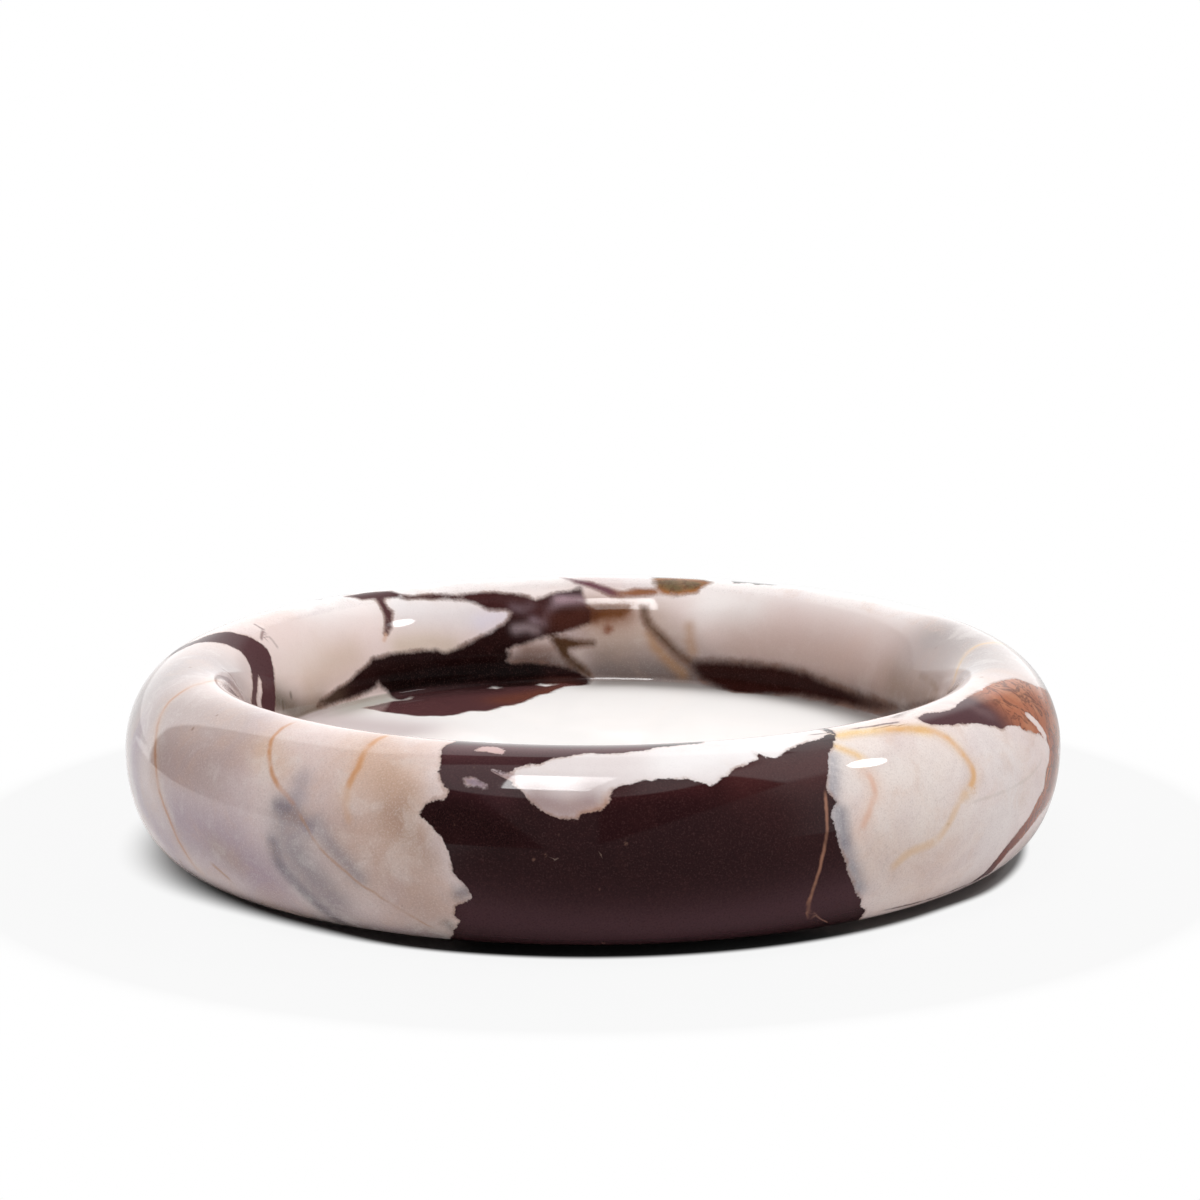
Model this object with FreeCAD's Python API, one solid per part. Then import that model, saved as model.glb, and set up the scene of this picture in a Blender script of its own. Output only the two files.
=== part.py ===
import FreeCAD, Part
import math
import os

# Round ring dish turned from one piece of stone, standing on four stick-on felt pads.
# Millimetres, +Z up, origin on the table under the centre of the dish, front towards -Y.

# Stone dish
outer_diameter = 110.0
stone_height = 21.2
rim_width = 14.85  # from the outer edge in to the foot of the inner wall
crest_inset = 8.0  # from the outer edge in to the highest ring of the rim
underside_inset = 6.4  # from the outer edge in to the start of the flat underside
floor_thickness = 8.8
floor_fillet = 1.2  # radius where the inner wall runs into the floor
widest_height_share = 0.5236  # height of the widest ring as a share of the stone's height

# Felt pads and the adhesive discs that hold them
pad_count = 4
pad_diameter = 12.0
pad_thickness = 1.2
pad_circle_diameter = 72.0
first_pad_angle = 45.0  # degrees from +X
adhesive_thickness = 0.3
adhesive_inset = 0.25  # the disc stops this far inside the edge of its pad

# Derived sizes
outer_radius = outer_diameter / 2
crest_radius = outer_radius - crest_inset
underside_radius = outer_radius - underside_inset
wall_foot_radius = outer_radius - rim_width
pad_radius = pad_diameter / 2
pad_circle_radius = pad_circle_diameter / 2
adhesive_radius = pad_radius - adhesive_inset

# Heights above the table
adhesive_bottom = pad_thickness
underside = adhesive_bottom + adhesive_thickness
widest_ring = underside + stone_height * widest_height_share
crest = underside + stone_height
floor_top = underside + floor_thickness
wall_foot = floor_top + floor_fillet

axis_origin = FreeCAD.Vector(0, 0, 0)
axis_up = FreeCAD.Vector(0, 0, 1)
quarter_weight = math.cos(math.pi / 4)  # makes a three-pole curve an exact quarter of an ellipse


def section_point(radius, height):
    return FreeCAD.Vector(radius, 0, height)


def quarter_ellipse(start, end, corner):
    """Quarter of an ellipse from start to end, square to the two sides that meet at the corner."""
    curve = Part.BezierCurve()
    curve.setPoles([start, corner, end])
    curve.setWeight(2, quarter_weight)
    return curve.toShape()


def stone_section():
    """Closed half section of the dish, from the axis out around the rim and back over the floor."""
    underside_centre = section_point(0, underside)
    underside_edge = section_point(underside_radius, underside)
    widest = section_point(outer_radius, widest_ring)
    top = section_point(crest_radius, crest)
    foot = section_point(wall_foot_radius, wall_foot)
    floor_edge = section_point(wall_foot_radius - floor_fillet, floor_top)
    floor_centre = section_point(0, floor_top)
    edges = [
        Part.makeLine(underside_centre, underside_edge),
        quarter_ellipse(underside_edge, widest, section_point(outer_radius, underside)),
        quarter_ellipse(widest, top, section_point(outer_radius, crest)),
        quarter_ellipse(top, foot, section_point(wall_foot_radius, crest)),
        quarter_ellipse(foot, floor_edge, section_point(wall_foot_radius, floor_top)),
        Part.makeLine(floor_edge, floor_centre),
        Part.makeLine(floor_centre, underside_centre),
    ]
    return Part.Face(Part.Wire(edges))


def pad_centre(angle, height):
    turn = math.radians(angle)
    return FreeCAD.Vector(pad_circle_radius * math.cos(turn), pad_circle_radius * math.sin(turn), height)


def pad_place(angle):
    """Where a pad sits, in words, as seen from the front of the dish."""
    centre = pad_centre(angle, 0)
    depth = "front" if centre.y < 0 else "back"
    side = "left" if centre.x < 0 else "right"
    return depth + "_" + side


nodes = {"stone_dish": stone_section().revolve(axis_origin, axis_up, 360)}

for index in range(pad_count):
    pad_angle = first_pad_angle + index * 360 / pad_count
    place = pad_place(pad_angle)
    nodes["felt_pad_" + place] = Part.makeCylinder(pad_radius, pad_thickness, pad_centre(pad_angle, 0))
    nodes["adhesive_disc_" + place] = Part.makeCylinder(
        adhesive_radius, adhesive_thickness, pad_centre(pad_angle, adhesive_bottom)
    )

os.makedirs("parts", exist_ok=True)
for name, shape in nodes.items():
    shape.exportStep(os.path.join("parts", name + ".step"))
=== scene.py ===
import math
from dataclasses import dataclass

import bpy
import numpy as np
from bpy.props import FloatProperty, FloatVectorProperty, IntProperty, PointerProperty
from mathutils import Matrix, Vector
from mathutils.bvhtree import BVHTree


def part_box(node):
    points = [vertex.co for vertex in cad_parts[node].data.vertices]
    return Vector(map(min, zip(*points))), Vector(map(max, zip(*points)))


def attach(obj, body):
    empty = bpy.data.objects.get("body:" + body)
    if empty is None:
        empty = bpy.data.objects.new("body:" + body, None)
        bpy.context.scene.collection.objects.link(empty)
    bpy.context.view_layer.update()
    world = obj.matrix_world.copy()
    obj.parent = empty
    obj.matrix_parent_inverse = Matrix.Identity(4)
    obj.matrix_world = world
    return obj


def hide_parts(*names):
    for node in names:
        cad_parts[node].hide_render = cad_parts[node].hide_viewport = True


bl_info = {
    "name": "Stone Ring Dish",
    "version": (1, 0, 0),
    "blender": (4, 5, 0),
    "location": "View3D > Sidebar > Ring Dish",
    "description": "Builds a ring dish of patterned stone on felt pads, and the studio it stands in",
    "category": "Add Mesh",
}

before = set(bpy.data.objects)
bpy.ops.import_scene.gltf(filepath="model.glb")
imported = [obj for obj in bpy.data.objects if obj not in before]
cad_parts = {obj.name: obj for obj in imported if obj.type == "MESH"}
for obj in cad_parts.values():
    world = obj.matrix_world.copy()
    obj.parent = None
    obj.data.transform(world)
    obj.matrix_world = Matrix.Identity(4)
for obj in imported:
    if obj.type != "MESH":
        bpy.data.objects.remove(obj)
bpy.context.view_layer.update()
stone_low, stone_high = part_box("stone_dish")

MM = 0.001
PLACES = ("front_left", "front_right", "back_left", "back_right")

# Width of the photograph in pixels, and the pixel at the middle of the dish
PHOTO_WIDTH = 1200
DISH_MIDDLE = (592, 752)

# Colours of the stone, as the levels from 0 to 255 that a screen shows
CHOCOLATE = (43, 20, 22)
RED_BROWN = (74, 40, 38)
PURPLE_BROWN = (92, 62, 68)
DARK_BROWN = (84, 52, 57)
COPPER = (180, 108, 76)
GOLD = (238, 196, 124)
CREAM = (236, 216, 211)
WHITE = (255, 252, 250)
TAN = (216, 180, 160)
LILAC = (198, 174, 178)


def shade(levels):
    """Linear colour from the levels that a screen shows."""
    levels = np.array(levels) / 255
    return tuple(np.where(levels <= 0.04045, levels / 12.92, ((levels + 0.055) / 1.055) ** 2.4))


def px(*numbers):
    """Points picked in the photograph: across and down in its pixels, one pair after another."""
    return [("photo", x, y) for x, y in zip(numbers[::2], numbers[1::2])]


def at(*numbers):
    """Points given by turn, in degrees from the front, and station, in mm from the rim's crest.

    Stations are positive down the outside, and negative over the inner wall and the floor.
    """
    return [("turned", turn, station) for turn, station in zip(numbers[::2], numbers[1::2])]


@dataclass
class Patch:
    """A patch with a clear edge. A dark one covers the ground and a pale one cuts back to it."""

    outline: list
    colour: tuple
    pale: bool = False
    softness: float = 0.10  # mm to each side over which the edge fades
    ragged: float = 1.0  # how far the edge wanders
    polish: float = 1.0  # share of the stone's gloss
    marbled: float = 0.0  # share of thin dark lines and lighter clouds in it
    flat: bool = False  # lies on the dish floor, and is drawn there in plan
    far_colour: tuple = None  # colour at the second of its two turns
    turns: tuple = (0, 0)  # degrees from the front between which it takes that colour


@dataclass
class Vein:
    """A thin line in the stone."""

    line: list
    colour: tuple
    half_width: float  # mm
    strength: float  # share of its colour along its middle


@dataclass
class Cloud:
    """A soft tint along a line."""

    line: list
    colour: tuple
    reach: float  # mm from the line to where about a third of the tint is left
    strength: float  # share of its colour on the line
    flat: bool = False  # lies on the dish floor, and is drawn there in plan
    dark: bool = False  # tints the dark patches in place of the ground
    polish: float = 1.0  # share of the stone's gloss on the line


# Patches with a clear edge, in the order they are laid. Three pale ones are painted highlights.
patches = dict(
    front_patch=Patch(
        px(456,742, 450,744, 441,751, 440,755, 441,761, 439,768, 438,771, 441,776, 444,785, 448.5,790,
            448,795, 445,800, 441,802, 435,799, 431,803, 426,803.5, 421,809, 419,814, 424,818.5, 429,825,
            434,830, 441,838.5, 446,846, 450,855, 452,865, 453,872, 458.5,880, 466,886, 470,891, 472,897,
            463,903.5, 456,907, 455,911, 453,916, 457,918, 460,921, 458,925, 455,929, 452,934,
            448.5,936.5)
        + at(-18,28, -21,36, -12,44, -2,39, 8,47, 20,41, 29,33, 34.5,27)
        + px(866,910, 860,906, 861,900, 857.5,895, 854,886.5, 849,875, 845,862, 842,852, 838,840,
            834.5,828, 832,820, 832,812, 834,807, 836.5,801.5, 833.5,796, 827.5,792.5, 825.5,788,
            826.5,780, 827.5,765, 828.5,754, 831,749, 835,741, 837,735)
        + at(33,-2, 31,-8, 20,-11, 8,-9, -4,-11, -12,-8, -18.6,-2), CHOCOLATE),
    white_tongue=Patch(
        px(513.5,769, 512,776, 513,786, 521,788, 524,793.5, 528,798, 531,803, 537,807, 545,812, 552,816.5,
            561.5,818.5, 571.5,819.5, 578,818, 584,813.5, 596,811.5, 603,809, 608,803, 609.5,798,
            611.5,790.5, 617,788, 629,784, 640,782, 647,780, 660,780, 675,779.5, 690,779.5, 696,781.5,
            705,783, 710,785.5, 716,783.5, 720,779, 728,776, 732.5,771, 740,767.5, 746,765, 748,762,
            753,760.5, 757,758, 753,751.5, 761.5,754, 768,758.5, 778,757.5, 785,753, 790,750.5, 797.5,746,
            808,742, 819,739.5, 824,735.5, 829,734)
        + at(31.8,-1, 34,-4.5, 29.5,-8, 31.5,-12, 27,-15.5, 22,-13.4, 18.5,-15, 20.5,-10, 16,-7, 17.4,-4,
            14.6,-1.5)
        + px(703,743, 656,747.5, 650,749.7, 640,751, 630,752.5, 617,753.5, 605,754, 590,753, 575,754.7,
            563,757, 553,758.5, 546,760.5, 541,763, 528.5,764, 520.5,766.5), (234, 224, 223), pale=True),
    pink_streak=Patch(
        px(474,750.4, 481,746.5, 490,746.5, 500,748.5, 507,751.5, 504,754.5, 495,753, 480,751),
        (210, 174, 172), pale=True),
    # painted highlight: pale lilac marks on the dark crest where it mirrors a bright light overhead
    lilac_painted_highlight=Patch(
        px(464,779, 470,777.5, 480,780.5, 488,784.5, 487,788.5, 476,787, 466,784.5),
        (140, 120, 134), pale=True, softness=0.2),
    # painted highlight: a pale mark at the tongue's tip, part of the same mirrored light
    tongue_tip_painted_highlight=Patch(
        px(492,769.5, 500,771, 508,773.5, 514,777, 507,779, 499,776, 493,772.5),
        (176, 156, 162), pale=True, softness=0.15),
    right_patch=Patch(
        px(917,718, 926,713, 940,712, 950,710, 960,702, 970,696, 978,692, 988,686, 1000,681, 1016,679,
            1026,682, 1036,687, 1046,690, 1054,695, 1059,703, 1061,714, 1059,726, 1058,750, 1058.6,772,
            1056,788, 1050,800, 1040,814, 1028,830, 1018,842, 1008,852, 998,864, 990,873, 976,881,
            960,889, 972,882, 984,873, 994,862, 1004,849, 1014,837, 1024,824, 1033,810, 1039,796,
            1044,788, 1046,772, 1049,760, 1049.6,750, 1047.6,742, 1040,735, 1032,732, 1023,729, 1018,725,
            1008,726, 1000,729, 994,726, 988,725, 978,723, 970,723, 960,724, 954,725.6, 944,725, 930,724,
            922,722), DARK_BROWN, far_colour=COPPER, turns=(59, 66), marbled=1.0, polish=0.45),
    # painted highlight: a pale sliver cut into the copper where the side lamp glints
    right_painted_highlight=Patch(
        px(1024,712.4, 1029,713, 1036,720, 1043,729, 1047,737, 1047,741, 1042,735, 1035,726, 1028,719),
        CREAM, pale=True),
    right_inner_patch=Patch(
        at(48,-7, 53,-5.2, 60,-5.8, 68,-4.6, 76,-6.6, 82,-6, 86,-9.5, 80,-11, 82,-13.6, 72,-14.6,
            63,-13.4, 55,-15, 47,-13, 51,-10), DARK_BROWN),
    left_band=Patch(
        px(165,660, 176,650, 185,645, 196,640.6, 205,636.6, 215,633.6, 224,632, 231,632, 237,634,
            247,635.6, 255,639.6, 260,643, 265,648, 269,652, 271,658, 273,666, 274,675, 274.5,685,
            275.5,692, 275.5,699)
        + at(-106,-13, -103,-17, -96,-17.5, -92,-13)
        + px(251,700, 252,693, 252.5,685, 252,676, 251,668, 249,662.4, 245,657, 240,651, 233,647, 225,644,
            215,642.5, 205,642, 195,643.6, 180,650.5), (86, 56, 59), softness=0.16, polish=0.08),
    left_sliver=Patch(
        px(258,674, 261.5,681, 262.5,690, 261,699)
        + at(-99,-13, -97.5,-13)
        + px(256,701, 257,690), CREAM, pale=True, softness=0.16),
    back_cap=Patch(
        px(344.3,596.7, 365.7,592.6, 390.7,591, 401.4,595, 397.9,597.4, 385.2,598.1, 384.3,602.1,
            388.3,608.1, 393.6,611.5, 392,618.8, 391.8,627.1, 387.1,635, 384.3,634, 385,627, 384.6,618,
            381.9,609.5, 378.8,603.3, 375.2,598.6, 361,599.8, 353.8,597.4),
        (84, 52, 54), softness=0.4, ragged=0.5, polish=0.15),
    back_mass=Patch(
        px(401.4,595.2, 411,596, 432.4,593.8, 456.2,595, 472.9,593.1, 491.9,591.9, 511,593.3, 527.6,596.2,
            535.2,599.8, 541.9,597.4, 556.2,592.6, 572.9,590.2, 580,587.1, 583.8,593.8, 586.7,603.3,
            593.1,609.3, 594.3,617.6, 588.3,623.6, 577.6,628.3, 565.7,632.4, 556.2,634.8, 547.9,636.2,
            539.5,639, 527.6,643.8, 513.3,647.4, 507.4,651, 512.1,654.5, 507.4,660.5, 513.3,662,
            527.6,662, 544.3,663, 558.6,665.5, 572.9,669, 587.1,675, 590.7,680)
        + at(-179,-17, -165,-17, -152,-17, -141,-17)
        + px(388.3,692.6, 381.2,687.9, 377.6,681.9, 376,688, 360,696, 347,700, 336,703, 326,706, 317,707,
            321,700, 329,694.5, 334.8,690.2, 344.3,684.3, 353.8,676.2, 363.3,667.6, 370.5,661.7,
            372.9,657.6, 382.4,656.2, 391.9,653.3, 399,652.1, 411,651, 425.2,649.8, 437.1,649.8,
            444.3,652.1, 449,651.4, 458.6,647.4, 470.5,641.4, 482.4,635.5, 491.9,630.7, 501.4,624.8,
            508.6,618.8, 511.4,612.9, 506.2,609.3, 496.7,610.5, 487.1,610, 482.4,606.9, 475.2,603.5,
            468.1,601, 458.6,599.6, 430,599.3, 401.4,599),
        (38, 18, 17), softness=0.5, ragged=0.7, polish=0.14),
    ochre_patch=Patch(
        px(582,606, 603.8,604.7, 631,605.2, 630,612, 622,619, 612,618, 602,620, 595,624, 588.3,620,
            586,612.9), (112, 68, 38), softness=0.7, ragged=1.0, polish=0.3),
    ochre_spot=Patch(
        px(603.8,627.1, 608.6,625.5, 611.4,629.5, 608.6,633.3, 604.3,631.9), (134, 84, 62), softness=0.6),
    brown_bar=Patch(
        px(547.1,633.8, 556.2,634.3, 564.5,636.2, 571.7,638.6, 582.4,640.5, 594.3,640.5, 594.3,645.5,
            584.8,646.7, 575.2,648.1, 568.8,649.8, 570,653.8, 576.2,660.5, 583.3,665.2, 589,671.2,
            592.4,676.9, 585.2,676.4, 577.1,670.5, 568.6,664.5, 561.4,657.4, 556.2,650.2, 551.4,641.9),
        (82, 57, 38), softness=0.6, ragged=0.6, polish=0.3),
    wall_crack=Patch(
        px(641,606.2, 647.1,606.2, 648.6,615.2, 652.1,622.9, 660.5,631.4, 670,641, 679.3,651, 688.8,658.6,
            697.9,664.5, 696.7,667.6, 685.5,662.4, 674.5,655.2, 663.8,644.8, 654.3,635.2, 646,626.4,
            641.7,616.9), (84, 60, 42), softness=0.9, ragged=0.4, polish=0.3),
    purple_streak=Patch(
        px(557.4,577.1, 572.9,579.5, 587.1,581, 603.8,585.7, 618.1,591.4, 627.6,590.5, 637.1,588.1,
            650,588.5, 660,589, 658,594, 646.7,596, 639.5,596.2, 620.5,597.1, 611,596.2, 601.4,591.9,
            589.5,587.1, 575.2,583.1), (112, 72, 82), softness=0.5, ragged=0.5, polish=0.3),
    olive_patch=Patch(
        px(652.6,577.1, 668.1,577.1, 687.1,578.1, 703.8,579.5, 712.4,582.9, 702.9,587.6, 697.9,592.4,
            687.1,594.8, 672.9,596, 662.1,593.8, 656.2,588.6, 653.8,581.9),
        (116, 100, 74), softness=0.6, ragged=1.2, polish=0.2, marbled=0.6),
    right_base=Patch(
        px(690,662.5, 697,660, 715,660, 740,661, 765,664, 789,667, 806,672, 822,679, 840,686, 855,692,
            870,696, 884,700, 901,708, 895,717, 875,712, 855,708, 835,704, 812,699, 789,695.5, 760,694,
            735,692.5, 716,688, 702,681, 692,671), (46, 19, 15), softness=1.0, ragged=0.9, polish=0.14),
    floor_patch=Patch(
        px(363,708, 372,709, 385,712, 400,714, 415,716, 445,716, 455,715, 464,712.6, 470,711, 485,711,
            495,709, 501,706.5, 513,705, 520,703, 530,699, 540,695, 550,693, 556,690, 565,686.5, 585,685)
        + at(-178,-15.8, -165,-15.8, -150,-15.8, -139,-16.6), (98, 62, 64), flat=True, softness=0.35),
    outer_back_patch=Patch(
        at(146,3, 153,-0.5, 162,2, 171,0.5, 178,6, 185,9, 183,15, 188,21, 180,29, 168,33, 158,28, 150,22,
            152,15, 145,10), CHOCOLATE),
    outer_left_patch=Patch(
        at(-139,0.5, -131,2, -127,8, -121,12, -123,18, -117,24, -124,32, -137,35, -142,26, -138,18,
            -144,11, -141,5), PURPLE_BROWN),
    outer_left_chip=Patch(at(-134,9, -130,12, -131,18, -135,21, -137,15), CREAM, pale=True),
    front_foot_patch=Patch(
        at(-84,-8, -80,-4.8, -72,-5.6, -64,-4.2, -57,-7, -50,-8, -46,-11.5, -40,-13, -42,-16, -55,-15.2,
            -63,-16.4, -72,-15, -79,-16.2, -85,-13, -80,-10.5), DARK_BROWN),
)

# Thin lines
veins = dict(
    left_vein=Vein(
        px(222,682, 207,683, 195,685, 185,690, 176,696, 168,703, 163,711, 159,720, 157,729, 156,737,
            155,745, 156,765, 158,785, 162,800, 167.5,814, 173,827.5, 178,840, 184,850, 190,860, 196,868,
            200,871), (194, 134, 98), 0.34, 0.7),
    long_vein=Vein(
        px(299,721, 290,724, 282,728, 277,733, 272,738, 270,746, 269,760, 272,774, 277,784, 282.5,791,
            290,799, 296,807.5), (206, 142, 92), 0.32, 0.75),
    long_vein_low=Vein(
        px(296,807.5, 302.5,819, 307.5,829, 315,841, 325,854, 335,862.5, 345,871, 355,880, 362.5,886,
            372.5,891, 381,897.5, 390,903, 400,909.5, 410,915, 420,921, 432.5,927.5, 440,930),
        (186, 140, 106), 0.2, 0.5),
    tan_vein=Vein(
        px(390,735, 383,737, 375,741, 366,750, 361,759, 359,767.5, 352.5,776, 348,787.5, 346.5,794),
        (212, 150, 98), 0.4, 0.75),
    tan_vein_low=Vein(px(348,787.5, 346,798, 346,810, 350,825), (212, 164, 122), 0.5, 0.35),
    left_low_dash=Vein(px(210,862.5, 219,870, 226,876, 231,881), (190, 146, 112), 0.3, 0.6),
    crack_vein=Vein(
        px(825,788, 826,805, 827,820, 827,832, 825,846, 822,857, 820,868, 816,880, 813,890, 810,900,
            808,912, 809,920), (158, 112, 92), 0.2, 1.0),
    crack_twin=Vein(px(811,893, 806.5,901, 806,910, 808,919), (158, 112, 92), 0.12, 0.9),
    crack_branch=Vein(px(813,912, 820,919, 829,923), (150, 110, 95), 0.1, 0.8),
    tongue_tip_line=Vein(px(491.5,770.5, 497,774, 504,777.5, 511,780), (190, 160, 158), 0.08, 0.8),
    first_speck=Vein(px(553.4,859, 554.2,859.6), (150, 128, 118), 0.09, 0.6),
    second_speck=Vein(px(562.4,856.6, 563.4,857), (138, 116, 106), 0.08, 0.6),
    third_speck=Vein(px(552.6,867.4, 553.4,868), (150, 128, 118), 0.09, 0.6),
    fourth_speck=Vein(px(600,853, 602,855), (140, 116, 104), 0.09, 0.6),
    fifth_speck=Vein(px(537,823.6, 538,824.4), (140, 116, 108), 0.08, 0.6),
    sixth_speck=Vein(px(633,872.2, 633.8,873), (128, 106, 98), 0.08, 0.6),
    orange_vein=Vein(
        px(880,730, 900,729, 920,729, 934,731, 946,737, 956,746, 966,758, 973,770, 974,778, 970,788,
            966,793), (226, 172, 112), 0.5, 0.75),
    orange_vein_low=Vein(
        px(970,788, 962,798, 956,808, 950,822, 942,834, 934,843, 920,848, 908,853, 898,862, 888,872),
        (226, 186, 138), 0.55, 0.5),
    pink_vein=Vein(
        px(866,772, 871,777, 874,787, 875,795, 872,803, 869,812, 865,821, 861,831),
        (224, 176, 150), 0.4, 0.6),
    dark_crest_right=Vein(px(848,729.5, 870,726.5, 885,724, 900,722), DARK_BROWN, 0.2, 0.9),
    dark_crest_middle=Vein(px(808,735, 820,733.8, 833,732.5), DARK_BROWN, 0.14, 0.8),
    left_rim_line=Vein(px(221,668.5, 229,673, 234,680, 239,688, 244,696), (120, 96, 92), 0.2, 0.8),
    left_back_hair=Vein(px(253,623.5, 259,627, 265,630), (118, 86, 84), 0.22, 0.7),
    left_back_hair_down=Vein(px(264,630, 262,634, 261,640), (118, 86, 84), 0.25, 0.7),
    left_back_hair_end=Vein(px(268,635.6, 273,641, 278,648), (150, 126, 122), 0.25, 0.5),
    left_foot_tick=Vein(px(282,700, 284,712), (96, 84, 72), 0.3, 0.7),
    left_foot_tick_behind=Vein(px(290,692, 292,700), (96, 84, 72), 0.3, 0.7),
    dark_lower_edge=Vein(
        px(880,911, 910,904.5, 939,896, 960,887.5, 979,879, 994,869), DARK_BROWN, 0.22, 0.8),
    right_pale_arc=Vein(
        px(1040,746, 1043,757, 1036,770, 1024,781, 1008,790, 990,797, 968,803), (196, 182, 172), 0.2, 0.3),
    orange_arc=Vein(
        px(953,685, 956,672.5, 961,661, 968,652, 979,645, 990,643, 1003,643.5, 1013,647, 1024,654),
        (214, 176, 134), 0.3, 0.7),
    right_wall_trace=Vein(px(917.5,674, 926,678, 934,685, 938,692), (150, 126, 106), 0.5, 0.35),
    back_cap_tail=Vein(px(386,633, 385,638, 383,642), (204, 146, 100), 0.3, 0.4),
    unseen_back_right=Vein(at(118,3, 122,8, 119,13, 124,19, 121,25, 128,34), (208, 160, 110), 0.25, 0.8),
    unseen_back_left=Vein(
        at(-160,2, -157,8, -161,14, -155,20, -158,27, -150,40), (204, 154, 104), 0.22, 0.8),
    unseen_inner_right=Vein(at(60,-2, 56,-6, 58,-10, 52,-14, 50,-22), (208, 166, 120), 0.25, 0.7),
    unseen_inner_left=Vein(at(-30,-3, -34,-7, -31,-11, -36,-15), (204, 160, 126), 0.25, 0.7),
)
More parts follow.
